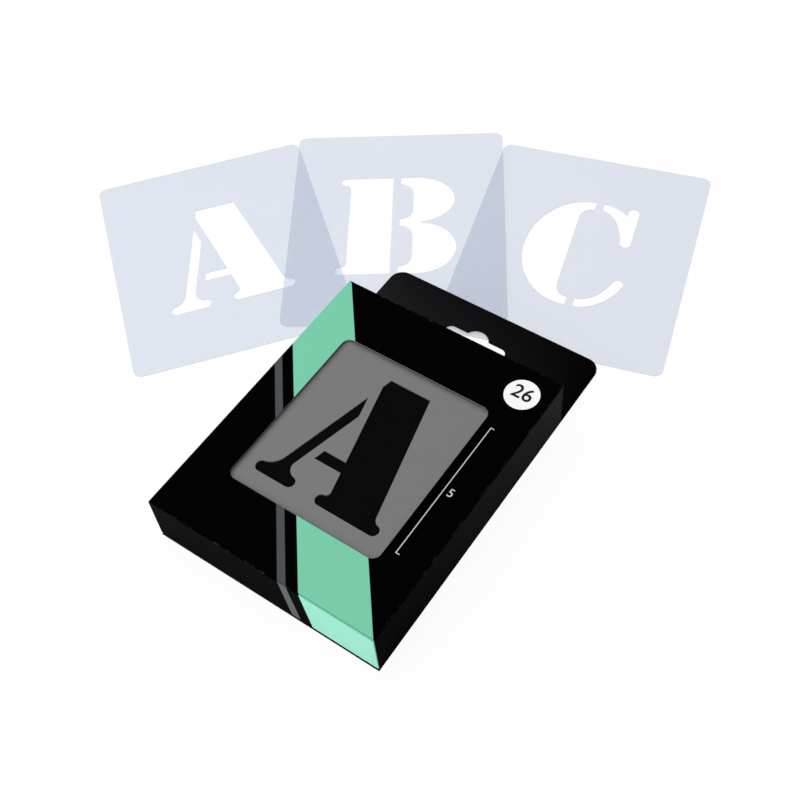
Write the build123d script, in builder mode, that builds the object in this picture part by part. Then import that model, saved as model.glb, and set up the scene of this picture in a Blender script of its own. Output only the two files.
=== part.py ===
from build123d import *
import os

os.makedirs("parts", exist_ok=True)

# Sizes are in millimetres, with +Z out of the window and +Y towards the hang slot. Each piece
# is modelled from the middle of the carton's back face. At the end the whole set is moved
# together, so that the origin is on the surface it lies on, under the middle of the set.

# Stencil cards
card_width = 81.0
card_height = 97.0
card_thickness = 0.6
card_corner_radius = 3.2
spare_letters = "zyxwvutsrqponmlkjihgfed"

# Letters
letter_height = 50.0
stem_width = 16.4
hairline = 4.0
serif_height = 4.1
serif_reach = 3.9
serif_bracket = 1.7
leg_bracket = 5.2
heavy_bracket = 2.4
bracket_hollow_share = 0.4
bridge = 2.9
overshoot = 1.0
round_flat = 0.5
flag_length = 16.0
flag_bracket = 10.0

# Carton board and the clearances inside it
board = 0.5
side_clearance = 1.0
end_clearance = 2.8
fold_gap = 0.05
end_gap = 0.2
lip_clearance = 0.7
seat_gap = 0.3
liner_thickness = 2.5
display_thickness = 0.5
carton_fold_radius = 0.45

# Window
window_width = 56.0
window_height = 63.0
window_corner_radius = 3.1

# Hang panel
header_height = 27.0
header_corner_radius = 5.0
slot_width = 24.0
slot_height = 5.0
slot_dome_radius = 4.6
slot_above_carton = 12.6
slot_dome_rise = 0.6

# Closing flaps, tuck lips and dust flaps
flap_side_gap = 0.2
lip_length = 8.0
lip_side_gap = 1.2
lip_corner_radius = 5.0
dust_length = 21.0
dust_taper = 3.0
dust_corner_cut = 1.5

# Loose cards, fanned out under the hang panel: the place of one lower corner of each,
# measured from the carton's top left corner
layer_gap = 0.05
loose_a_right_corner = (1.2, 0.5)
loose_a_turn = 50.6
loose_b_left_corner = (-21.1, -17.2)
loose_b_turn = 33.0
loose_c_left_corner = (25.2, 11.1)
loose_c_turn = 16.3

overrun = 1.0

# Worked out from the sizes above
stack_height = len(spare_letters) * card_thickness
lip_low = 2 * board + lip_clearance
lip_high = lip_low + board
stack_low = lip_high + seat_gap
liner_low = stack_low + stack_height
display_low = liner_low + liner_thickness
front_inside = display_low + display_thickness + seat_gap
carton_depth = front_inside + board
carton_width = card_width + 2 * side_clearance + 2 * board
carton_length = card_height + 2 * (end_clearance + board + end_gap)
end_plane = carton_length / 2
sleeve_end = end_plane - board - fold_gap
dust_outside = end_plane - board - end_gap
hinge_height = carton_depth - board / 2
after_stem = serif_reach + stem_width + bridge
two_serifs = 2 * serif_reach + stem_width


def of_cap(shares):
    """Shares of the letter height, as lengths."""
    return [share * letter_height for share in shares]


def upright(left, low=0, high=letter_height, width=stem_width):
    """A straight upright stroke."""
    with Locations((left, low)):
        Rectangle(width, high - low, align=(Align.MIN, Align.MIN))


def bar(left, right, low):
    """A thin level stroke."""
    with Locations((left, low)):
        Rectangle(right - left, hairline, align=(Align.MIN, Align.MIN))


def slant(foot, head, low=0, high=letter_height, width=stem_width, mode=Mode.ADD):
    """A sloping stroke between two levels, given by its left edge."""
    Polygon((foot, low), (foot + width, low), (head + width, high), (head, high), align=None, mode=mode)


def outline(shares):
    """A straight-sided stroke, its corners given as shares of the letter height."""
    Polygon(*[tuple(of_cap(corner)) for corner in shares], align=None)


def slab(left, right, low, high=None):
    """A serif with square ends."""
    high = low + serif_height if high is None else high
    with Locations((left, low)):
        Rectangle(right - left, high - low, align=(Align.MIN, Align.MIN))


def round_slab(left, right, low):
    """A level serif with round ends."""
    with Locations((left, low)):
        SlotOverall(right - left, serif_height, align=(Align.MIN, Align.MIN))


def bracket(x, y, across, up):
    """The filled corner between a stroke and its serif."""
    Polygon((x, y), (x + across * serif_bracket, y), (x, y + up * serif_bracket), align=None)


def curved_bracket(corner, on_stroke, on_serif, inside):
    """The filled corner between a stroke and its serif, with a hollow curve from one to the other.

    The face reaches to points inside the stroke, so that it overlaps both."""
    middle = [(stroke + serif) / 2 for stroke, serif in zip(on_stroke, on_serif)]
    drawn_in = tuple(place + bracket_hollow_share * (end - place) for place, end in zip(middle, corner))
    with BuildLine() as edge:
        ThreePointArc(on_stroke, drawn_in, on_serif)
        Polyline(on_serif, *inside, on_stroke)
    make_face(edge.edges())


def at_level(level, edge):
    """Where a stroke's edge, given at the base line and at the cap line, is at a level."""
    foot, head = edge
    return foot + (head - foot) * level / letter_height


def leaning_foot(left, right, edges, rises):
    """A round-ended serif on the base line, which curves up into both edges of a leaning stroke."""
    round_slab(left, right, 0)
    half = serif_height / 2
    for edge, end, rise in zip(edges, (left + half, right - half), rises):
        corner = (at_level(serif_height, edge), serif_height)
        level = serif_height + rise
        inside = [((at_level(height, edges[0]) + at_level(height, edges[1])) / 2, height)
                  for height in (half, level)]
        curved_bracket(corner, (at_level(level, edge), level), (end, serif_height), inside)


def foot_serif(left, right, stroke_left, stroke_right):
    """A serif on the base line, bracketed where it stands out of its stroke."""
    slab(left, right, 0)
    if left < stroke_left:
        bracket(stroke_left, serif_height, -1, 1)
    if right > stroke_right:
        bracket(stroke_right, serif_height, 1, 1)


def head_serif(left, right, stroke_left, stroke_right):
    """A serif under the cap line, bracketed where it stands out of its stroke."""
    slab(left, right, letter_height - serif_height)
    if left < stroke_left:
        bracket(stroke_left, letter_height - serif_height, -1, -1)
    if right > stroke_right:
        bracket(stroke_right, letter_height - serif_height, 1, -1)


def serif_stem(left=serif_reach, foot=(1, 1), head=(1, 1)):
    """A heavy stem with serifs at its foot and head, each to the left, the right or both."""
    right = left + stem_width
    upright(left)
    foot_serif(left - foot[0] * serif_reach, right + foot[1] * serif_reach, left, right)
    head_serif(left - head[0] * serif_reach, right + head[1] * serif_reach, left, right)


def bowl(spine, low, high, hollow, side=1, thick=stem_width, flat=round_flat,
         low_thin=hairline, high_thin=hairline):
    """A bowl beside a spine: flat and then elliptical outside, with a straight-sided hollow."""
    start = -90 * side
    with BuildLine() as edge:
        outer = EllipticalCenterArc((spine + side * flat, (low + high) / 2), hollow + thick - flat,
                                    (high - low) / 2, start, arc_size=180)
        foot = CenterArc((spine, low + low_thin + hollow), hollow, -90, 90 * side)
        head = CenterArc((spine, high - high_thin - hollow), hollow, 90, -90 * side)
        Line(foot @ 1, head @ 1)
        lower, upper = sorted((outer @ 0, outer @ 1), key=lambda point: point.Y)
        Polyline(foot @ 0, (spine, low), lower)
        Polyline(head @ 0, (spine, high), upper)
    make_face(edge.edges())


def ring(spine, low, high, hollow, thick, side=1, low_thin=hairline, high_thin=hairline):
    """Half an elliptical ring beside a spine, thin at its ends."""
    start = -90 * side
    inner_low = low + low_thin
    inner_high = high - high_thin
    with BuildLine() as edge:
        outer = EllipticalCenterArc((spine, (low + high) / 2), hollow + thick, (high - low) / 2,
                                    start, arc_size=180)
        inner = EllipticalCenterArc((spine, (inner_low + inner_high) / 2), hollow,
                                    (inner_high - inner_low) / 2, start, arc_size=180)
        Line(outer @ 0, inner @ 0)
        Line(outer @ 1, inner @ 1)
    make_face(edge.edges())


def hook(left, right, level, depth, inner_left, inner_right):
    """The lower half of a ring, with its hollow placed apart from its outside."""
    with BuildLine() as edge:
        outer = EllipticalCenterArc(((left + right) / 2, level), (right - left) / 2, depth,
                                    180, arc_size=180)
        inner = EllipticalCenterArc(((inner_left + inner_right) / 2, level),
                                    (inner_right - inner_left) / 2, depth - hairline,
                                    180, arc_size=180)
        Line(outer @ 0, inner @ 0)
        Line(outer @ 1, inner @ 1)
    make_face(edge.edges())


def flag(edge, root, tip, side):
    """The upright serif that ends a thin arm, with a straight bracket into the arm."""
    slab(min(edge, edge - side * serif_height), max(edge, edge - side * serif_height),
         min(root, tip), max(root, tip))
    away = 1 if tip > root else -1
    inside = edge - side * serif_height / 2
    arm = root + away * hairline / 2
    Polygon((inside, arm), (inside - side * flag_bracket, arm),
            (inside, arm + away * flag_bracket), align=None)


def clear(left, right, low, high):
    """A bridge, or any other place where the card stays whole."""
    with Locations((left, low)):
        Rectangle(right - left, high - low, align=(Align.MIN, Align.MIN), mode=Mode.SUBTRACT)


def top_arm(left, right):
    bar(left, right - serif_height / 2, letter_height - hairline)
    flag(right, letter_height, letter_height - flag_length, 1)


def base_arm(left, right):
    bar(left, right - serif_height / 2, 0)
    flag(right, 0, flag_length, 1)


def middle_arm(left, right):
    middle = letter_height / 2
    bar(left, right - serif_height / 2, middle - hairline / 2)
    slab(right - serif_height, right, middle - flag_length / 2, middle + flag_length / 2)


def round_left():
    """The left crescent of a C or a G, and where the strokes beside it start."""
    hollow_share = (0.096,)
    (hollow,) = of_cap(hollow_share)
    width = hollow + stem_width
    bowl(width, -overshoot, letter_height + overshoot, hollow, side=-1)
    return width + bridge


def round_top_right(spine):
    """The upper arm of a C or a G, which ends in an upright serif."""
    arm_shares = (0.206, 0.154, 0.66, 0.272)
    hollow, thick, end, edge = of_cap(arm_shares)
    low = -overshoot
    high = letter_height + overshoot
    centre = spine + edge - serif_height / 2
    right = spine + hollow + thick + overrun
    ring(spine, low, high, hollow, thick)
    clear(spine, right, low - overrun, end)
    clear(centre, right, end, high + overrun)
    tip = end - serif_height / 2
    with Locations((centre, (tip + high) / 2)):
        SlotOverall(high - tip, serif_height, rotation=90)


def letter_a():
    leg_shares = (0.079, 0.347, 0.077)
    leg_foot, leg_head, leg_width = of_cap(leg_shares)
    heavy_shares = (0.544, 0.312, 0.334)
    foot, head, width = of_cap(heavy_shares)
    slant(leg_foot, leg_head, width=leg_width)
    slant(foot - bridge, head - bridge, width=bridge + width, mode=Mode.SUBTRACT)
    slant(foot, head, width=width)
    slant(leg_foot - width, leg_head - width, width=width, mode=Mode.SUBTRACT)
    inside = (leg_foot + leg_width, leg_head + leg_width)
    after_leg = [place + bridge for place in inside]
    bar_share = (0.258,)
    (low,) = of_cap(bar_share)
    high = low + hairline
    slant(at_level(low, after_leg), at_level(high, after_leg), low=low, high=high, width=width)
    serif_shares = (0, 0.294, 0.458, 0.922)
    leg_left, leg_right, heavy_left, heavy_right = of_cap(serif_shares)
    leaning_foot(leg_left, leg_right, ((leg_foot, leg_head), inside), (leg_bracket, leg_bracket))
    leaning_foot(heavy_left, heavy_right, ((foot, head), (foot + width, head + width)),
                 (heavy_bracket, heavy_bracket))


def letter_b():
    upright(serif_reach)
    middle = serif_reach + stem_width / 2
    half = serif_height / 2
    for centre, up in ((half, 1), (letter_height - half, -1)):
        round_slab(0, middle, centre - half)
        level = centre + up * half
        curved_bracket((serif_reach, level), (serif_reach, level + up * serif_bracket), (half, level),
                       [(middle, centre)])
    bowl_shares = (0.516, 0.52, 0.10)
    upper_low, lower_high, hollow = of_cap(bowl_shares)
    upper_shares = (0.316, 0.116)
    thick, flat = of_cap(upper_shares)
    bowl(after_stem, upper_low, letter_height, hollow, thick=thick, flat=flat, low_thin=hairline / 2)
    lower_share = (0.138,)
    (lower_flat,) = of_cap(lower_share)
    bowl(after_stem, 0, lower_high, hollow, flat=lower_flat, high_thin=hairline / 2)


def letter_c():
    spine = round_left()
    horn_shares = (0.264, 0.082, 0.26, 0.264)
    hollow, thick, end, tip = of_cap(horn_shares)
    high = letter_height + overshoot
    ring(spine, -overshoot, high, hollow, thick)
    clear(spine, spine + hollow + thick + overrun, end, high + overrun)
    with Locations((spine + tip, end)):
        Circle(thick / 2)
    with BuildSketch(mode=Mode.PRIVATE) as arm:
        round_top_right(spine)
    add(arm.sketch)


def letter_d():
    serif_stem(foot=(1, 0), head=(1, 0))
    bowl_shares = (0.162, 0.08)
    hollow, flat = of_cap(bowl_shares)
    bowl(after_stem, 0, letter_height, hollow, flat=flat)


def letter_e():
    serif_stem(foot=(1, 0), head=(1, 0))
    arm_shares = (0.82, 0.84, 0.68)
    top, base, middle = of_cap(arm_shares)
    top_arm(after_stem, top)
    base_arm(after_stem, base)
    middle_arm(after_stem, middle)


def letter_f():
    serif_stem(head=(1, 0))
    arm_shares = (0.84, 0.69)
    top, middle = of_cap(arm_shares)
    top_arm(after_stem, top)
    middle_arm(after_stem, middle)


def letter_g():
    spine = round_left()
    with BuildSketch(mode=Mode.PRIVATE) as arm:
        round_top_right(spine)
    add(arm.sketch)
    stem_shares = (0.40, 0.02)
    high, inset = of_cap(stem_shares)
    left = spine + serif_reach - inset
    upright(left, low=-overshoot, high=high)
    bar(spine, left + inset, -overshoot)
    slab(spine, left + stem_width + serif_reach, high - serif_height / 2)


def letter_h():
    serif_stem()
    apart_share = (0.108,)
    (apart,) = of_cap(apart_share)
    second = two_serifs + apart + serif_reach
    serif_stem(second)
    middle = (letter_height - hairline) / 2
    bar(serif_reach + stem_width, second, middle)
    centre = (two_serifs + second - serif_reach) / 2
    clear(centre - bridge / 2, centre + bridge / 2, middle - overrun, middle + hairline + overrun)


def letter_i():
    serif_stem()


def letter_j():
    shares = (0.26, 0.28, 0.08)
    left, level, hollow = of_cap(shares)
    right = left + stem_width
    upright(left, low=level)
    head_serif(left - serif_reach, right + serif_reach, left, right)
    hook(0, right, level, level + overshoot, left - hollow, left)
    with Locations(((left - hollow) / 2, level)):
        Circle((left - hollow) / 2)
    middle = left - hollow / 2
    clear(middle - bridge / 2, middle + bridge / 2, -overshoot - overrun, level)


def letter_k():
    serif_stem()
    thin_shares = (0.464, 0.78, 0.36, 0.10)
    foot, head, low, width = of_cap(thin_shares)
    slant(foot, head, low=low, width=width)
    leg_shares = ((0.51, 0.456), (0.70, 0.82), (1.02, 0), (0.69, 0))
    outline(leg_shares)
    foot_shares = (0.61, 1.09)
    left, right = of_cap(foot_shares)
    slab(left, right, 0)
    head_shares = (0.68, 0.99)
    left, right = of_cap(head_shares)
    slab(left, right, letter_height - serif_height)


def letter_l():
    serif_stem(foot=(1, 0))
    arm_share = (0.85,)
    (right,) = of_cap(arm_share)
    base_arm(after_stem, right)


def letter_m():
    thin_shares = (0.10, 0.29)
    thin, foot_right = of_cap(thin_shares)
    upright(thin, width=hairline)
    foot_serif(0, foot_right, thin, thin + hairline)
    head_serif(0, thin + hairline, thin, thin + hairline)
    vee_shares = ((0.238, 1), (0.498, 1), (0.598, 0.48), (0.692, 1), (0.768, 1), (0.57, 0), (0.52, 0))
    outline(vee_shares)
    stem_share = (0.826,)
    (stem,) = of_cap(stem_share)
    serif_stem(stem, head=(0, 1))


def letter_n():
    thin_shares = (0.10, 0.29)
    thin, foot_right = of_cap(thin_shares)
    upright(thin, width=hairline)
    foot_serif(0, foot_right, thin, thin + hairline)
    head_serif(0, thin + hairline, thin, thin + hairline)
    heavy_shares = (0.57, 0.238, 0.29)
    foot, head, width = of_cap(heavy_shares)
    slant(foot, head, width=width)
    right_thin = foot + width + bridge
    upright(right_thin, width=hairline)
    serif_share = (0.11,)
    (out,) = of_cap(serif_share)
    head_serif(right_thin - out, right_thin + hairline + out, right_thin, right_thin + hairline)


def letter_o():
    hollow_share = (0.108,)
    (hollow,) = of_cap(hollow_share)
    spine = hollow + stem_width
    bowl(spine, -overshoot, letter_height + overshoot, hollow, side=-1)
    bowl(spine + bridge, -overshoot, letter_height + overshoot, hollow)


def letter_p():
    serif_stem(head=(1, 0))
    bowl_shares = (0.42, 0.092, 0.11)
    low, hollow, flat = of_cap(bowl_shares)
    bowl(after_stem, low, letter_height, hollow, flat=flat)


def letter_q():
    letter_o()
    tail_shares = ((0.56, 0.06), (0.76, 0.12), (0.98, -0.13), (0.90, -0.19), (0.70, -0.15))
    outline(tail_shares)


def letter_r():
    serif_stem(foot=(1, 0), head=(1, 0))
    bowl_shares = (0.44, 0.062, 0.11)
    low, hollow, flat = of_cap(bowl_shares)
    bowl(after_stem, low, letter_height, hollow, flat=flat)
    leg_shares = ((0.51, 0.50), (0.76, 0.56), (0.96, 0), (0.632, 0))
    outline(leg_shares)
    foot_shares = (0.56, 1.04)
    left, right = of_cap(foot_shares)
    slab(left, right, 0)


def letter_s():
    shares = (0.13, 0.26, 0.58, 0.22)
    hollow, thick, tall, spine = of_cap(shares)
    centre = hollow + thick
    low = -overshoot
    high = letter_height + overshoot
    ring(centre, high - tall, high, hollow, thick, side=-1, low_thin=spine)
    ring(centre, low, low + tall, hollow, thick, high_thin=spine)
    right = 2 * centre - serif_height / 2
    bar(centre, right - serif_height / 2, high - hairline)
    flag(right, high, high - flag_length, 1)
    bar(serif_height, centre, low)
    flag(serif_height / 2, low, low + flag_length, -1)
    clear(centre - bridge / 2, centre + bridge / 2, low - overrun, high + overrun)


def letter_t():
    shares = (0.34,)
    (stem,) = of_cap(shares)
    right = stem + stem_width
    upright(stem)
    foot_serif(stem - serif_reach, right + serif_reach, stem, right)
    under = letter_height - hairline
    bar(serif_height / 2, stem - bridge, under)
    flag(0, letter_height, letter_height - flag_length, -1)
    top_arm(right + bridge, right + stem)


def letter_u():
    shares = (0.28, 0.76, 0.11, 0.50)
    level, thin, out, cut = of_cap(shares)
    left = serif_reach
    upright(left, low=level)
    head_serif(0, two_serifs, left, left + stem_width)
    upright(thin, low=level, width=hairline)
    head_serif(thin - out, thin + hairline + out, thin, thin + hairline)
    hook(left, thin + hairline, level, level + overshoot, left + stem_width, thin)
    clear(cut, cut + bridge, -overshoot - overrun, level)


def letter_v():
    heavy_shares = ((0.078, 1), (0.406, 1), (0.62, 0.392), (0.52, 0), (0.43, 0))
    outline(heavy_shares)
    slab(0, two_serifs, letter_height - serif_height)
    thin_shares = (0.58, 0.835, 0.084)
    foot, head, width = of_cap(thin_shares)
    slant(foot, head, width=width)
    head_shares = (0.71, 1.03)
    left, right = of_cap(head_shares)
    slab(left, right, letter_height - serif_height)


def letter_w():
    step_share = (0.42,)
    (step,) = of_cap(step_share)
    thin_shares = (0.43, 0.53, 0.44, 0.072)
    foot, head, high, width = of_cap(thin_shares)
    slant(foot, head, high=high, width=width)
    last_shares = (0.85, 1.08, 0.078)
    last_foot, last_head, last_width = of_cap(last_shares)
    slant(last_foot, last_head, width=last_width)
    for start in (0, step):
        with Locations((start, 0)):
            heavy_shares = ((0.06, 1), (0.31, 1), (0.446, 0.40), (0.37, 0), (0.29, 0))
            outline(heavy_shares)
    head_shares = ((0, 0.37), (0.43, 0.79), (0.97, 1.22))
    for pair in head_shares:
        left, right = of_cap(pair)
        slab(left, right, letter_height - serif_height)


def letter_x():
    thin_shares = (0.16, 0.74, 0.088)
    thin_foot, thin_head, thin_width = of_cap(thin_shares)
    slant(thin_foot, thin_head, width=thin_width)
    heavy_shares = (0.54, 0.09)
    foot, head = of_cap(heavy_shares)
    slant(foot - bridge, head - bridge, width=stem_width + 2 * bridge, mode=Mode.SUBTRACT)
    slant(foot, head)
    slab(foot - serif_reach / 2, foot + stem_width + serif_reach, 0)
    slab(head - serif_reach, head + stem_width + serif_reach / 2, letter_height - serif_height)
    base_shares = (0.03, 0.39)
    left, right = of_cap(base_shares)
    slab(left, right, 0)
    top_shares = (0.62, 0.95)
    left, right = of_cap(top_shares)
    slab(left, right, letter_height - serif_height)


def letter_y():
    heavy_shares = (0.32, 0.078, 0.44)
    foot, head, join = of_cap(heavy_shares)
    slant(foot, head, low=join)
    upright(foot, high=join)
    foot_serif(foot - serif_reach, foot + stem_width + serif_reach, foot, foot + stem_width)
    slab(0, two_serifs, letter_height - serif_height)
    thin_shares = (0.71, 0.84, 0.47, 0.088)
    thin_foot, thin_head, low, width = of_cap(thin_shares)
    slant(thin_foot, thin_head, low=low, width=width)
    top_shares = (0.72, 1.05)
    left, right = of_cap(top_shares)
    slab(left, right, letter_height - serif_height)


def letter_z():
    shares = (0.04, 0.46, 0.88)
    foot, head, right = of_cap(shares)
    slant(foot, head)
    bar(serif_height / 2, head - bridge, letter_height - hairline)
    flag(0, letter_height, letter_height - flag_length, -1)
    base_arm(foot + stem_width + bridge, right)


letters = {
    "a": letter_a, "b": letter_b, "c": letter_c, "d": letter_d, "e": letter_e, "f": letter_f,
    "g": letter_g, "h": letter_h, "i": letter_i, "j": letter_j, "k": letter_k, "l": letter_l,
    "m": letter_m, "n": letter_n, "o": letter_o, "p": letter_p, "q": letter_q, "r": letter_r,
    "s": letter_s, "t": letter_t, "u": letter_u, "v": letter_v, "w": letter_w, "x": letter_x,
    "y": letter_y, "z": letter_z,
}


def cut_letter(letter):
    """Cut a letter out of the middle of the sketch under way."""
    with BuildSketch(mode=Mode.PRIVATE) as strokes:
        letters[letter]()
    middle = strokes.sketch.bounding_box().center()
    add(strokes.sketch.moved(Location(-middle)), mode=Mode.SUBTRACT)


def stencil(letter, plane):
    """A sheet of film with rounded corners and a letter cut out of it."""
    with BuildPart() as card:
        with BuildSketch(plane):
            RectangleRounded(card_width, card_height, card_corner_radius)
            cut_letter(letter)
        extrude(amount=card_thickness)
    return card.part


pieces = {}


# Sleeve: the front with its window, the two sides and the inner back, folded from one board
with BuildPart() as sleeve:
    with BuildSketch(Plane.XZ):
        with Locations((0, (carton_depth + board) / 2)):
            RectangleRounded(carton_width, carton_depth - board, carton_fold_radius)
            Rectangle(carton_width - 2 * board, carton_depth - 3 * board, mode=Mode.SUBTRACT)
    extrude(amount=sleeve_end, both=True)
    with BuildSketch(Plane.XY.offset(front_inside - overrun)):
        RectangleRounded(window_width, window_height, window_corner_radius)
    extrude(amount=board + 2 * overrun, mode=Mode.SUBTRACT)
pieces["carton_sleeve"] = sleeve.part

# Hang panel: the fifth panel, glued on the back and standing out past the top with its slot
with BuildPart() as hang_panel:
    slot_middle = end_plane + slot_above_carton
    with BuildSketch():
        with Locations((0, -end_plane)):
            Rectangle(carton_width, carton_length + header_height, align=(Align.CENTER, Align.MIN))
        fillet(vertices().group_by(Axis.Y)[-1], radius=header_corner_radius)
        with Locations((0, slot_middle)):
            SlotOverall(slot_width, slot_height, mode=Mode.SUBTRACT)
        with Locations((0, slot_middle + slot_dome_rise)):
            Circle(slot_dome_radius, mode=Mode.SUBTRACT)
    extrude(amount=board)
pieces["hang_panel"] = hang_panel.part


def dust_flap(side, end):
    """A flap folded in from a side wall, behind the closing flap."""
    low = stack_low
    high = front_inside - end_gap
    root = side * (carton_width / 2 - board)
    tip = root - side * dust_length
    with BuildPart() as flap:
        with BuildSketch(Plane.XZ.offset(-end * dust_outside)):
            Polygon((root, low), (root, high), (tip, high), (tip, low + dust_taper), align=None)
            free_corners = vertices().sort_by(Axis.X, reverse=side < 0)[:2]
            chamfer(free_corners, dust_corner_cut)
        extrude(amount=end * board)
    return flap.part


for end_name, end in (("top", 1), ("bottom", -1)):
    for side_name, side in (("left", -1), ("right", 1)):
        pieces[f"dust_flap_{end_name}_{side_name}"] = dust_flap(side, end)


def closing_flap(end):
    """The flap that closes an end, hinged on the front panel's edge by a rounded fold."""
    outside = end * end_plane
    inside = outside - end * board
    with BuildPart() as flap:
        with BuildSketch(Plane.YZ):
            with Locations(((inside + outside) / 2, (lip_low + hinge_height) / 2)):
                Rectangle(board, hinge_height - lip_low)
            with Locations(((inside + outside) / 2, hinge_height)):
                Circle(board / 2)
        extrude(amount=carton_width / 2 - flap_side_gap, both=True)
    return flap.part


def tuck_lip(end):
    """The lip along the flap's free edge, tucked in over the back panel."""
    root = end * (end_plane - board - fold_gap)
    with BuildPart() as lip:
        with BuildSketch(Plane.XY.offset(lip_low)):
            with Locations((0, root - end * lip_length / 2)):
                Rectangle(carton_width - 2 * board - 2 * lip_side_gap, lip_length)
            free_corners = vertices().sort_by(Axis.Y, reverse=end < 0)[:2]
            fillet(free_corners, radius=lip_corner_radius)
        extrude(amount=board)
    return lip.part


for end_name, end in (("top", 1), ("bottom", -1)):
    pieces[f"closing_flap_{end_name}"] = closing_flap(end)
    pieces[f"tuck_lip_{end_name}"] = tuck_lip(end)

# Spare stencils, stacked face to face on the tuck lips
for place, letter in enumerate(spare_letters):
    height = stack_low + place * card_thickness
    pieces[f"stencil_{letter}"] = stencil(letter, Plane.XY.offset(height))

# Liner: a black board over the stack, so that nothing of it shows through the display letter
with BuildPart() as liner:
    with BuildSketch(Plane.XY.offset(liner_low)):
        Rectangle(card_width, card_height)
    extrude(amount=liner_thickness)
pieces["liner_card"] = liner.part

# Display card: a square-cut board with the letter that shows in the window
with BuildPart() as display:
    with BuildSketch(Plane.XY.offset(display_low)):
        Rectangle(card_width, card_height)
        cut_letter("a")
    extrude(amount=display_thickness)
pieces["display_card"] = display.part

# Loose stencils: two on the surface, and the middle one lying over both. Each is placed by
# a lower corner, its right one where side is 1 and its left one where side is -1.
second_layer = -layer_gap - card_thickness
first_layer = second_layer - layer_gap - card_thickness
for letter, corner, side, turn, low in (
    ("a", loose_a_right_corner, 1, loose_a_turn, first_layer),
    ("b", loose_b_left_corner, -1, loose_b_turn, second_layer),
    ("c", loose_c_left_corner, -1, loose_c_turn, first_layer),
):
    on_corner = Location((corner[0] - carton_width / 2, corner[1] + end_plane, low), (0, 0, turn))
    to_middle = Location((-side * card_width / 2, card_height / 2, 0))
    pieces[f"stencil_{letter}"] = stencil(letter, Plane(on_corner * to_middle))

# The whole set, moved on to the surface
outside = Compound([piece.solid() for piece in pieces.values()]).bounding_box()
to_surface = Location((-outside.center().X, -outside.center().Y, -outside.min.Z))
for name, solid in pieces.items():
    placed = solid.moved(to_surface)
    placed.label = name
    export_step(placed, f"parts/{name}.step")
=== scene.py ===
import math

import bmesh
import bpy
from mathutils import Matrix, Vector


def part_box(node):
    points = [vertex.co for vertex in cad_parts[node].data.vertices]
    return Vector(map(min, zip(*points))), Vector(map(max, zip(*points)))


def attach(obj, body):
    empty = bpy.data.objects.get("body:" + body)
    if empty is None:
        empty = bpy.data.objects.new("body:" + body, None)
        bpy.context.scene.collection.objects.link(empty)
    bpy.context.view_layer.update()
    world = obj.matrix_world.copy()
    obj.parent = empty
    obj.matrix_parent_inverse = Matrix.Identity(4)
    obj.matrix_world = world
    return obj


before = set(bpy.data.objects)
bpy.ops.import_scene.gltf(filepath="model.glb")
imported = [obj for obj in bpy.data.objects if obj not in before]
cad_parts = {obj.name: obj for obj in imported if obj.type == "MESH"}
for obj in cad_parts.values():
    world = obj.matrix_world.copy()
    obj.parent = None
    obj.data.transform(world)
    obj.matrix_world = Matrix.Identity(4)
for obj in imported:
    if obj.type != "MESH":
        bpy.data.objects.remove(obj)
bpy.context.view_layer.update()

# Printed carton: one folded and glued blank of half-millimetre board, printed black on its
# outside with a broad mint stripe and a thin grey one that run on round its folds. On the walls
# the stripes are painted paler for the brighter light there, and the black of the side walls and
# the hang panel has a painted sheen. Its inside is bare grey board.
sleeve_low, sleeve_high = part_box("carton_sleeve")
carton_x = (sleeve_low.x + sleeve_high.x) / 2
carton_y = (sleeve_low.y + sleeve_high.y) / 2
carton_half_width = (sleeve_high.x - sleeve_low.x) / 2
carton_front = sleeve_high.z
carton_end = (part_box("closing_flap_top")[1].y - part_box("closing_flap_bottom")[0].y) / 2
board = 0.0005

# The front and the side walls end at folds, so they are printed up to there, edges and all.
cut_edge_inset = 0.0006
back_panel_start = sleeve_high.z - sleeve_low.z - board

ink_black = (0.0005, 0.0005, 0.0009, 1)
ink_mint = (0.185, 0.578, 0.386, 1)
ink_grey = (0.07, 0.078, 0.084, 1)
# Stripe colours for the walls: painted paler, standing in for the brighter light the walls get.
painted_lit_wall_mint = (0.376, 0.847, 0.665, 1)
painted_lit_wall_grey = (0.141, 0.15, 0.156, 1)
# Dark grey for a painted sheen on the black, standing in for reflected light.
painted_sheen_grey = (0.021, 0.021, 0.023, 1)
bare_board = (0.42, 0.41, 0.39, 1)

# A stripe is the band where along + slope * across lies between its two limits. On a wall it
# runs down almost straight from the fold.
stripe_slope = 1.25
wall_lean = 0.13
mint_low, mint_high = -0.0325, 0.0005
grey_low, grey_high = -0.0421, -0.0381


def math_node(tree, operation, first, second=None, third=None, clamp=False):
    """A Math node; each input is a number or a socket."""
    node = tree.nodes.new("ShaderNodeMath")
    node.operation = operation
    node.use_clamp = clamp
    for socket, value in zip(node.inputs, (first, second, third)):
        if value is None:
            continue
        if isinstance(value, (int, float)):
            socket.default_value = value
        else:
            tree.links.new(value, socket)
    return node.outputs[0]


def mix_colour(tree, share, first, second):
    """A colour between two, each a constant or a socket."""
    node = tree.nodes.new("ShaderNodeMix")
    node.data_type = "RGBA"
    sockets = (node.inputs[0], node.inputs[6], node.inputs[7])
    for socket, value in zip(sockets, (share, first, second)):
        if isinstance(value, (int, float, tuple)):
            socket.default_value = value
        else:
            tree.links.new(value, socket)
    return node.outputs[2]


def noise(tree, place, scale, detail=3.0):
    """Soft unevenness: scale is its blotches to a metre, detail its finer layers."""
    node = tree.nodes.new("ShaderNodeTexNoise")
    node.inputs["Scale"].default_value = scale
    node.inputs["Detail"].default_value = detail
    tree.links.new(place, node.inputs["Vector"])
    return node.outputs["Fac"]


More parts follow.
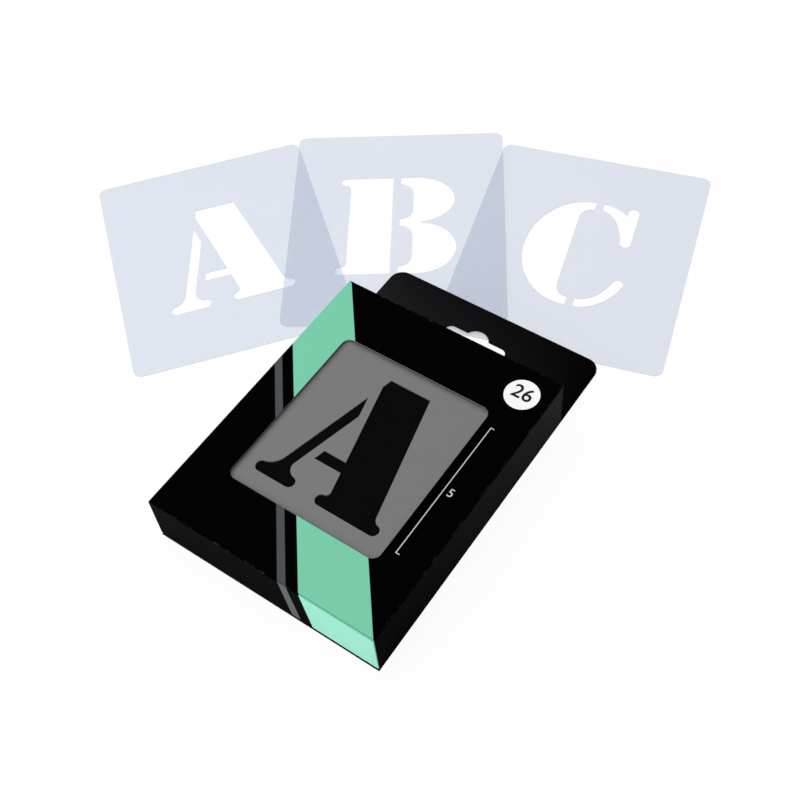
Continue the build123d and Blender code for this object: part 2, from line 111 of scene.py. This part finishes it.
def new_group(name, inputs, outputs):
    """An empty shader node group with named sockets."""
    tree = bpy.data.node_groups.new(name, "ShaderNodeTree")
    for kind, socket_name in inputs:
        tree.interface.new_socket(socket_name, in_out="INPUT", socket_type=kind)
    for kind, socket_name in outputs:
        tree.interface.new_socket(socket_name, in_out="OUTPUT", socket_type=kind)
    return tree, tree.nodes.new("NodeGroupInput"), tree.nodes.new("NodeGroupOutput")


def band(tree, value, low, high, soft):
    """1 between two limits and 0 outside them, with a soft edge."""
    rise = math_node(tree, "DIVIDE", math_node(tree, "SUBTRACT", value, low), soft, clamp=True)
    fall = math_node(tree, "DIVIDE", math_node(tree, "SUBTRACT", high, value), soft, clamp=True)
    return math_node(tree, "MULTIPLY", rise, fall)


def stripes_group():
    """The two printed stripes, from places across and along the unfolded blank, painted paler on
    the walls for their brighter light, on a black ground with a painted sheen.
    """
    tree, given, made = new_group(
        "printed_stripes",
        [("NodeSocketFloat", "Across"), ("NodeSocketFloat", "Along"), ("NodeSocketFloat", "Wall"),
         ("NodeSocketFloat", "Fade")],
        [("NodeSocketColor", "Ink")],
    )
    wall = given.outputs["Wall"]
    level = math_node(tree, "MULTIPLY_ADD", given.outputs["Across"], stripe_slope,
                      given.outputs["Along"])
    print_edge = 0.00012
    mint = band(tree, level, mint_low, mint_high, print_edge)
    grey = band(tree, level, grey_low, grey_high, print_edge)
    # The black ground, lightened to dark grey where a sheen is painted.
    ground = mix_colour(tree, given.outputs["Fade"], ink_black, painted_sheen_grey)
    # Where Wall is set, the stripes take the paler colours painted for the walls' brighter light.
    with_grey = mix_colour(tree, grey, ground, mix_colour(tree, wall, ink_grey, painted_lit_wall_grey))
    with_mint = mix_colour(tree, mint, with_grey, mix_colour(tree, wall, ink_mint, painted_lit_wall_mint))
    tree.links.new(with_mint, made.inputs["Ink"])
    return tree


def board_grain_group():
    """The faint unevenness of coated board: mottled roughness, and a height for its fibres."""
    tree, given, made = new_group(
        "board_grain",
        [("NodeSocketVector", "Place"), ("NodeSocketFloat", "Roughness"),
         ("NodeSocketFloat", "Mottle")],
        [("NodeSocketFloat", "Roughness"), ("NodeSocketFloat", "Height")],
    )
    cloud_scale, fibre_scale, fibre_detail = 90.0, 2600.0, 4.0
    noise_middle, cloud_height = 0.5, 2.0
    place = given.outputs["Place"]
    cloud = math_node(tree, "SUBTRACT", noise(tree, place, cloud_scale), noise_middle)
    fibre = noise(tree, place, fibre_scale, fibre_detail)
    rough = math_node(tree, "MULTIPLY_ADD", cloud, given.outputs["Mottle"],
                      given.outputs["Roughness"], clamp=True)
    tree.links.new(rough, made.inputs["Roughness"])
    height = math_node(tree, "MULTIPLY_ADD", cloud, cloud_height, fibre)
    tree.links.new(height, made.inputs["Height"])
    return tree


def fold_wear_group():
    """Where ink is rubbed off along a fold or an edge, from the distance to it."""
    tree, given, made = new_group(
        "fold_wear",
        [("NodeSocketVector", "Place"), ("NodeSocketFloat", "Distance"),
         ("NodeSocketFloat", "Reach")],
        [("NodeSocketFloat", "Wear")],
    )
    patch_scale, patch_threshold, patch_contrast = 420.0, 0.52, 6.0
    ratio = math_node(tree, "DIVIDE", given.outputs["Distance"], given.outputs["Reach"],
                      clamp=True)
    near = math_node(tree, "SUBTRACT", 1.0, ratio)
    above = math_node(tree, "SUBTRACT", noise(tree, given.outputs["Place"], patch_scale),
                      patch_threshold)
    patch = math_node(tree, "MULTIPLY", above, patch_contrast, clamp=True)
    tree.links.new(math_node(tree, "MULTIPLY", near, patch), made.inputs["Wear"])
    return tree


stripes = stripes_group()
board_grain = board_grain_group()
fold_wear = fold_wear_group()


def place_group(tree, group, **values):
    """A group node in a material, its inputs set by name to numbers or sockets."""
    node = tree.nodes.new("ShaderNodeGroup")
    node.node_tree = group
    for name, value in values.items():
        if isinstance(value, (int, float)):
            node.inputs[name].default_value = value
        else:
            tree.links.new(value, node.inputs[name])
    return node


def new_material(name, roughness, specular):
    """A material with its Principled shader, and a place in metres."""
    material = bpy.data.materials.new(name)
    material.use_nodes = True
    tree = material.node_tree
    shader = tree.nodes["Principled BSDF"]
    shader.inputs["Roughness"].default_value = roughness
    shader.inputs["Specular IOR Level"].default_value = specular
    place = tree.nodes.new("ShaderNodeTexCoord").outputs["Object"]
    return material, tree, shader, place


surface_depth = 0.00002


def finish_board(tree, shader, place, roughness, mottle, bump):
    """Give a board's shader its uneven gloss and fibres."""
    grain = place_group(tree, board_grain, Place=place, Roughness=roughness, Mottle=mottle)
    tree.links.new(grain.outputs["Roughness"], shader.inputs["Roughness"])
    relief = tree.nodes.new("ShaderNodeBump")
    relief.inputs["Strength"].default_value = bump
    relief.inputs["Distance"].default_value = surface_depth
    tree.links.new(grain.outputs["Height"], relief.inputs["Height"])
    tree.links.new(relief.outputs["Normal"], shader.inputs["Normal"])


def split_place(tree, place):
    """The x, y and z of a place."""
    node = tree.nodes.new("ShaderNodeSeparateXYZ")
    tree.links.new(place, node.inputs[0])
    return node.outputs


print_roughness, print_specular, print_mottle, print_bump = 0.5, 0.004, 0.12, 0.2
wear_reach, wear_share = 0.0005, 0.05
sheen_power = 1.6


def painted_sheen_towards_top(tree, along, low, high):
    """How far the black is lightened to dark grey by a painted sheen, rising from one place along
    to another.
    """
    rise = math_node(tree, "DIVIDE", math_node(tree, "SUBTRACT", along, low), high - low,
                     clamp=True)
    return math_node(tree, "POWER", rise, sheen_power)


def printed_sleeve():
    """Black print outside, where the stripes turn down the side walls with the blank."""
    material, tree, shader, place = new_material("carton_print_sleeve", print_roughness,
                                                 print_specular)
    x, y, z = split_place(tree, place)
    across = math_node(tree, "SUBTRACT", x, carton_x)
    along = math_node(tree, "SUBTRACT", y, carton_y)
    down = math_node(tree, "SUBTRACT", carton_front, z)
    side = math_node(tree, "SIGN", across)
    lean = math_node(tree, "MULTIPLY", side, math_node(tree, "MULTIPLY", down, wall_lean))
    wall = math_node(tree, "GREATER_THAN", down, board)
    # A painted sheen lightens the black of the side walls towards the top end.
    painted_sheen = math_node(tree, "MULTIPLY", wall,
                     painted_sheen_towards_top(tree, along, -carton_end, carton_end))
    leaning = math_node(tree, "ADD", along, lean)
    print_node = place_group(tree, stripes, Across=across, Along=leaning, Wall=wall, Fade=painted_sheen)
    ink = print_node.outputs["Ink"]
    from_side = math_node(tree, "SUBTRACT", carton_half_width, math_node(tree, "ABSOLUTE", across))
    end = math_node(tree, "SUBTRACT", carton_end, math_node(tree, "ABSOLUTE", along))
    on_face = math_node(tree, "LESS_THAN", math_node(tree, "MINIMUM", down, from_side), board / 2)
    at_end = math_node(tree, "LESS_THAN", end, cut_edge_inset)
    before_back = math_node(tree, "LESS_THAN", down, back_panel_start)
    outside = math_node(tree, "MAXIMUM", on_face, math_node(tree, "MULTIPLY", at_end, before_back))
    fold = math_node(tree, "MAXIMUM", down, from_side)
    nearest = math_node(tree, "MINIMUM", fold, end)
    rubbed = place_group(tree, fold_wear, Place=place, Distance=nearest, Reach=wear_reach)
    wear = math_node(tree, "MULTIPLY", rubbed.outputs["Wear"], wear_share)
    worn = mix_colour(tree, wear, ink, bare_board)
    tree.links.new(mix_colour(tree, outside, bare_board, worn), shader.inputs["Base Color"])
    finish_board(tree, shader, place, print_roughness, print_mottle, print_bump)
    return material


def printed_end():
    """Black print outside, where the stripes turn down the end walls with the blank."""
    material, tree, shader, place = new_material("carton_print_end", print_roughness,
                                                 print_specular)
    x, y, z = split_place(tree, place)
    across = math_node(tree, "SUBTRACT", x, carton_x)
    along = math_node(tree, "SUBTRACT", y, carton_y)
    down = math_node(tree, "SUBTRACT", carton_front, z)
    end = math_node(tree, "SIGN", along)
    lean = math_node(tree, "MULTIPLY", end, math_node(tree, "MULTIPLY", down, wall_lean))
    leaning = math_node(tree, "ADD", across, lean)
    edge = math_node(tree, "MULTIPLY", end, carton_end)
    wall = math_node(tree, "GREATER_THAN", down, board / 2)
    print_node = place_group(tree, stripes, Across=leaning, Along=edge, Wall=wall, Fade=0.0)
    ink = print_node.outputs["Ink"]
    from_end = math_node(tree, "SUBTRACT", carton_end, math_node(tree, "ABSOLUTE", along))
    on_face = math_node(tree, "LESS_THAN", from_end, board / 2)
    outside = math_node(tree, "MAXIMUM", on_face, math_node(tree, "LESS_THAN", down, board / 2))
    rubbed = place_group(tree, fold_wear, Place=place, Distance=down, Reach=wear_reach)
    wear = math_node(tree, "MULTIPLY", rubbed.outputs["Wear"], wear_share)
    worn = mix_colour(tree, wear, ink, bare_board)
    tree.links.new(mix_colour(tree, outside, bare_board, worn), shader.inputs["Base Color"])
    finish_board(tree, shader, place, print_roughness, print_mottle, print_bump)
    return material


def plain_black_board():
    """Board printed black on both faces, as the hang panel is, with a painted sheen lightening it
    towards its left side.
    """
    material, tree, shader, place = new_material("carton_print_panel", print_roughness,
                                                 print_specular)
    x, y = split_place(tree, place)[:2]
    panel_low, panel_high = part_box("hang_panel")
    side_sheen_power, fold_sheen, top_sheen = 0.7, 0.7, 0.3
    from_right = math_node(tree, "DIVIDE", math_node(tree, "SUBTRACT", panel_high.x, x),
                           panel_high.x - panel_low.x, clamp=True)
    from_top = math_node(tree, "DIVIDE", math_node(tree, "SUBTRACT", panel_high.y, y),
                         panel_high.y - carton_y - carton_end, clamp=True)
    # A painted sheen lightens the black towards the left side and towards the fold at the carton.
    painted_sheen = math_node(tree, "MULTIPLY", math_node(tree, "POWER", from_right, side_sheen_power),
                     math_node(tree, "MULTIPLY_ADD", from_top, fold_sheen, top_sheen))
    tree.links.new(mix_colour(tree, painted_sheen, ink_black, painted_sheen_grey), shader.inputs["Base Color"])
    finish_board(tree, shader, place, print_roughness, print_mottle, print_bump)
    return material


def bare_grey_board():
    """The unprinted side of the blank."""
    roughness, specular, mottle, bump = 0.8, 0.2, 0.1, 0.6
    pulp_scale = 180.0
    pale_pulp = (0.52, 0.51, 0.48, 1)
    material, tree, shader, place = new_material("carton_bare_board", roughness, specular)
    cloud = noise(tree, place, pulp_scale)
    tree.links.new(mix_colour(tree, cloud, bare_board, pale_pulp), shader.inputs["Base Color"])
    finish_board(tree, shader, place, roughness, mottle, bump)
    return material


def dress(node, material):
    """Give a carried-over node its material."""
    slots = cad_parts[node].data.materials
    slots.clear()
    slots.append(material)


end_print = printed_end()
bare_side = bare_grey_board()
dress("carton_sleeve", printed_sleeve())
dress("hang_panel", plain_black_board())
for end_name in ("top", "bottom"):
    dress(f"closing_flap_{end_name}", end_print)
    dress(f"tuck_lip_{end_name}", bare_side)
    for side_name in ("left", "right"):
        dress(f"dust_flap_{end_name}_{side_name}", bare_side)

# Liner and display card: a black board over the stack, and on it a grey one die-cut with the
# letter that shows in the window, both plain uncoated board.


def uncoated_board(name, colour, speck):
    """Plain board of one colour, with fine specks of another."""
    roughness, specular, mottle, bump = 0.8, 0.03, 0.15, 0.5
    speck_scale, speck_detail = 700.0, 5.0
    material, tree, shader, place = new_material(name, roughness, specular)
    specks = noise(tree, place, speck_scale, speck_detail)
    tree.links.new(mix_colour(tree, specks, colour, speck), shader.inputs["Base Color"])
    finish_board(tree, shader, place, roughness, mottle, bump)
    return material


window_half_width, window_half_height = 0.028, 0.0315
window_left = carton_x - window_half_width
window_top = carton_y + window_half_height
shade_reach, shade_power, shade_share = 0.0024, 1.5, 0.6
shade_colour = (0.03, 0.03, 0.03, 1)


def shaded_in_window(material):
    """The soft shade under the window's left and top edges, worked into the card's colour."""
    tree = material.node_tree
    shader = tree.nodes["Principled BSDF"]
    place = tree.nodes.new("ShaderNodeTexCoord").outputs["Object"]
    x, y = split_place(tree, place)[:2]
    nearest = math_node(tree, "MINIMUM", math_node(tree, "SUBTRACT", x, window_left),
                        math_node(tree, "SUBTRACT", window_top, y))
    away = math_node(tree, "DIVIDE", nearest, shade_reach, clamp=True)
    near = math_node(tree, "SUBTRACT", 1.0, away)
    shade = math_node(tree, "MULTIPLY", math_node(tree, "POWER", near, shade_power), shade_share)
    paper = shader.inputs["Base Color"].links[0].from_socket
    tree.links.new(mix_colour(tree, shade, paper, shade_colour), shader.inputs["Base Color"])
    return material


liner_colour, liner_speck = (0.0012, 0.0012, 0.0012, 1), (0.0026, 0.0026, 0.0026, 1)
display_colour, display_speck = (0.178, 0.178, 0.178, 1), (0.198, 0.198, 0.198, 1)
dress("liner_card", uncoated_board("liner_black", liner_colour, liner_speck))
display_board = uncoated_board("display_grey", display_colour, display_speck)
dress("display_card", shaded_in_window(display_board))

# Stencils: sheets of frosted polypropylene film, die-cut with one capital each. A sheet lets
# about half of the light through its two faces, so two sheets over each other look deeper.


def frosted_film():
    """Milky film: clouds in its colour and its haze, and a gloss scuffed in places."""
    clear_colour, cloud_colour = (0.445, 0.53, 0.72, 1), (0.475, 0.56, 0.745, 1)
    roughness, specular, bump = 0.42, 0.35, 0.15
    cloud_scale, grain_scale = 35.0, 3000.0
    haze_scale, haze_detail, haze_least, haze_range = 22.0, 4.0, 0.25, 0.03
    scuff_scale, scuff_detail, scuff_least, scuff_range = 160.0, 5.0, 0.32, 0.2
    material, tree, shader, place = new_material("stencil_film", roughness, specular)
    clouds = noise(tree, place, cloud_scale)
    colour = mix_colour(tree, clouds, clear_colour, cloud_colour)
    tree.links.new(colour, shader.inputs["Base Color"])
    haze = noise(tree, place, haze_scale, haze_detail)
    veil = math_node(tree, "MULTIPLY_ADD", haze, haze_range, haze_least)
    tree.links.new(veil, shader.inputs["Alpha"])
    scuff = noise(tree, place, scuff_scale, scuff_detail)
    rough = math_node(tree, "MULTIPLY_ADD", scuff, scuff_range, scuff_least)
    tree.links.new(rough, shader.inputs["Roughness"])
    relief = tree.nodes.new("ShaderNodeBump")
    relief.inputs["Strength"].default_value = bump
    relief.inputs["Distance"].default_value = surface_depth
    tree.links.new(noise(tree, place, grain_scale), relief.inputs["Height"])
    tree.links.new(relief.outputs["Normal"], shader.inputs["Normal"])
    return material


film = frosted_film()
for letter in "abcdefghijklmnopqrstuvwxyz":
    dress(f"stencil_{letter}", film)

# Badge and size bracket: printed on the front in white and pale grey, a round badge with the
# number of letters and a bracket beside the window with the letter's height in centimetres.
print_film = 0.00001
badge_x, badge_y, badge_radius = 0.0327, 0.0417, 0.0058
badge_number_size, badge_number_weight, badge_number_rise = 0.0072, 0.0001, 0.0004
bracket_x, bracket_half, bracket_tick, bracket_line = 0.0311, 0.0259, 0.0014, 0.0003
bracket_number_size, bracket_number_x, bracket_number_y = 0.0042, 0.0337, -0.0006


def printed_ink(name, colour, speck):
    """A flat ink, a little uneven."""
    roughness, specular, mottle, bump = 0.45, 0.2, 0.12, 0.25
    speck_scale = 900.0
    material, tree, shader, place = new_material(name, roughness, specular)
    specks = noise(tree, place, speck_scale)
    tree.links.new(mix_colour(tree, specks, colour, speck), shader.inputs["Base Color"])
    finish_board(tree, shader, place, roughness, mottle, bump)
    return material


def piece_from(shape, name, material):
    """A finished piece of print on the carton's front, from a bmesh."""
    mesh = bpy.data.meshes.new(name)
    shape.to_mesh(mesh)
    shape.free()
    piece = bpy.data.objects.new(name, mesh)
    bpy.context.scene.collection.objects.link(piece)
    mesh.materials.append(material)
    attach(piece, "carton")
    return piece


def thicken(shape, low, high):
    """Turn flat faces into a solid between two heights."""
    for vertex in shape.verts:
        vertex.co.z = low
    raised = bmesh.ops.extrude_face_region(shape, geom=shape.faces[:])["geom"]
    for item in raised:
        if isinstance(item, bmesh.types.BMVert):
            item.co.z = high
    bmesh.ops.recalc_face_normals(shape, faces=shape.faces[:])


white_ink = printed_ink("badge_white", (0.93, 0.93, 0.93, 1), (0.89, 0.89, 0.89, 1))
grey_ink = printed_ink("bracket_pale", (0.56, 0.56, 0.56, 1), (0.6, 0.6, 0.6, 1))
number_ink = printed_ink("number_black", (0.004, 0.004, 0.005, 1), (0.007, 0.007, 0.008, 1))

badge = bmesh.new()
bmesh.ops.create_circle(badge, cap_ends=True, segments=72, radius=badge_radius,
                        matrix=Matrix.Translation((carton_x + badge_x, carton_y + badge_y, 0)))
thicken(badge, carton_front, carton_front + print_film)
piece_from(badge, "badge", white_ink)

bracket = bmesh.new()
for right, low, high in (
    (bracket_tick, bracket_half - bracket_line, bracket_half),
    (bracket_tick, -bracket_half, -bracket_half + bracket_line),
    (bracket_line, -bracket_half + bracket_line, bracket_half - bracket_line),
):
    middle = Vector((carton_x + bracket_x + right / 2, carton_y + (low + high) / 2, 0))
    bar = Matrix.Translation(middle) @ Matrix.Diagonal((right, high - low, 1, 1))
    bmesh.ops.create_grid(bracket, x_segments=1, y_segments=1, size=0.5, matrix=bar)
thicken(bracket, carton_front, carton_front + print_film)
piece_from(bracket, "size_bracket", grey_ink)


def number(name, text, size, weight, x, y, low, material):
    """A printed number, made a mesh before it is set in its place."""
    curve = bpy.data.curves.new(name, "FONT")
    curve.body = text
    curve.size = size
    curve.offset = weight
    curve.resolution_u = 6
    curve.align_x = "CENTER"
    curve.align_y = "CENTER"
    maker = bpy.data.objects.new(f"{name}_curve", curve)
    bpy.context.scene.collection.objects.link(maker)
    evaluated = maker.evaluated_get(bpy.context.evaluated_depsgraph_get())
    flat = bpy.data.meshes.new_from_object(evaluated)
    bpy.data.objects.remove(maker)
    shape = bmesh.new()
    shape.from_mesh(flat)
    bmesh.ops.remove_doubles(shape, verts=shape.verts[:], dist=1e-7)
    bmesh.ops.translate(shape, vec=(carton_x + x, carton_y + y, 0), verts=shape.verts[:])
    thicken(shape, low, low + print_film)
    return piece_from(shape, name, material)


number("badge_number", "26", size=badge_number_size, weight=badge_number_weight, x=badge_x,
       y=badge_y + badge_number_rise, low=carton_front + print_film, material=number_ink)
number("bracket_number", "5", size=bracket_number_size, weight=0.0, x=bracket_number_x,
       y=bracket_number_y, low=carton_front, material=grey_ink)

# Floor and light: a white sweep that the set lies on, a large soft lamp overhead and a weaker
# one from the front, with a grey surrounding so that black board stays black.
bpy.context.scene.view_settings.view_transform = "Standard"


def white_floor():
    """White to the camera where it is in full light, and a plain pale floor to the light."""
    material = bpy.data.materials.new("floor_white")
    material.use_nodes = True
    tree = material.node_tree
    shader = tree.nodes["Principled BSDF"]
    shader.inputs["Base Color"].default_value = (0.9, 0.9, 0.9, 1)
    shader.inputs["Roughness"].default_value = 0.9
    shader.inputs["Specular IOR Level"].default_value = 0.0
    glow_share = 0.95
    path = tree.nodes.new("ShaderNodeLightPath")
    seen = math_node(tree, "MAXIMUM", path.outputs["Is Camera Ray"],
                     path.outputs["Is Transmission Ray"])
    glow = tree.nodes.new("ShaderNodeEmission")
    glow.inputs["Color"].default_value = (1, 1, 1, 1)
    glow.inputs["Strength"].default_value = 1.0
    blend = tree.nodes.new("ShaderNodeMixShader")
    tree.links.new(math_node(tree, "MULTIPLY", seen, glow_share), blend.inputs[0])
    tree.links.new(shader.outputs[0], blend.inputs[1])
    tree.links.new(glow.outputs[0], blend.inputs[2])
    tree.links.new(blend.outputs[0], tree.nodes["Material Output"].inputs["Surface"])
    return material


floor_half_width, floor_gap = 3, 0.00002
floor_shape = bmesh.new()
bmesh.ops.create_grid(floor_shape, x_segments=1, y_segments=1, size=floor_half_width)
floor_mesh = bpy.data.meshes.new("floor")
floor_shape.to_mesh(floor_mesh)
floor_shape.free()
floor_mesh.materials.append(white_floor())
floor = bpy.data.objects.new("floor", floor_mesh)
floor.location.z = -floor_gap
bpy.context.scene.collection.objects.link(floor)

surroundings = bpy.data.worlds.new("surroundings")
bpy.context.scene.world = surroundings
surroundings.use_nodes = True
sky = surroundings.node_tree
dim = sky.nodes["Background"]
dim.inputs["Color"].default_value = (1, 1, 1, 1)
dim.inputs["Strength"].default_value = 0.35
bright = sky.nodes.new("ShaderNodeBackground")
bright.inputs["Color"].default_value = (1, 1, 1, 1)
bright.inputs["Strength"].default_value = 1.0
ray = sky.nodes.new("ShaderNodeLightPath")
choose = sky.nodes.new("ShaderNodeMixShader")
sky.links.new(ray.outputs["Is Camera Ray"], choose.inputs[0])
sky.links.new(dim.outputs[0], choose.inputs[1])
sky.links.new(bright.outputs[0], choose.inputs[2])
sky.links.new(choose.outputs[0], sky.nodes["World Output"].inputs["Surface"])


def soft_lamp(name, size, power, place):
    """A square lamp aimed at the set."""
    light = bpy.data.lights.new(name, "AREA")
    light.size = size
    light.energy = power
    lamp = bpy.data.objects.new(name, light)
    lamp.location = place
    lamp.rotation_euler = (-Vector(place)).to_track_quat("-Z", "Y").to_euler()
    bpy.context.scene.collection.objects.link(lamp)


soft_lamp("overhead", size=1.2, power=12.2, place=(-0.35, 0.15, 1.3))
soft_lamp("front_fill", size=0.8, power=8.0, place=(-0.5, -1.1, 0.6))

# Camera: from the lower right of the set, looking down at it with the set turned a little.
camera_azimuth = math.radians(39.76)
camera_elevation = math.radians(54.0)
camera_roll = math.radians(6.26)
camera_distance = 0.39269
camera_target = Vector((0.04887, -0.03708, 0.01))
backward = Vector((math.sin(camera_azimuth) * math.cos(camera_elevation),
                   -math.cos(camera_azimuth) * math.cos(camera_elevation),
                   math.sin(camera_elevation)))
lens = bpy.data.cameras.new("photo_camera")
lens.lens = 54.0
lens.sensor_width = 36.0
lens.clip_start = 0.01
camera = bpy.data.objects.new("photo_camera", lens)
aim = (-backward).to_track_quat("-Z", "Y").to_matrix().to_4x4()
camera.matrix_world = (Matrix.Translation(camera_target + backward * camera_distance) @ aim
                       @ Matrix.Rotation(-camera_roll, 4, "Z"))
bpy.context.scene.collection.objects.link(camera)
bpy.context.scene.camera = camera
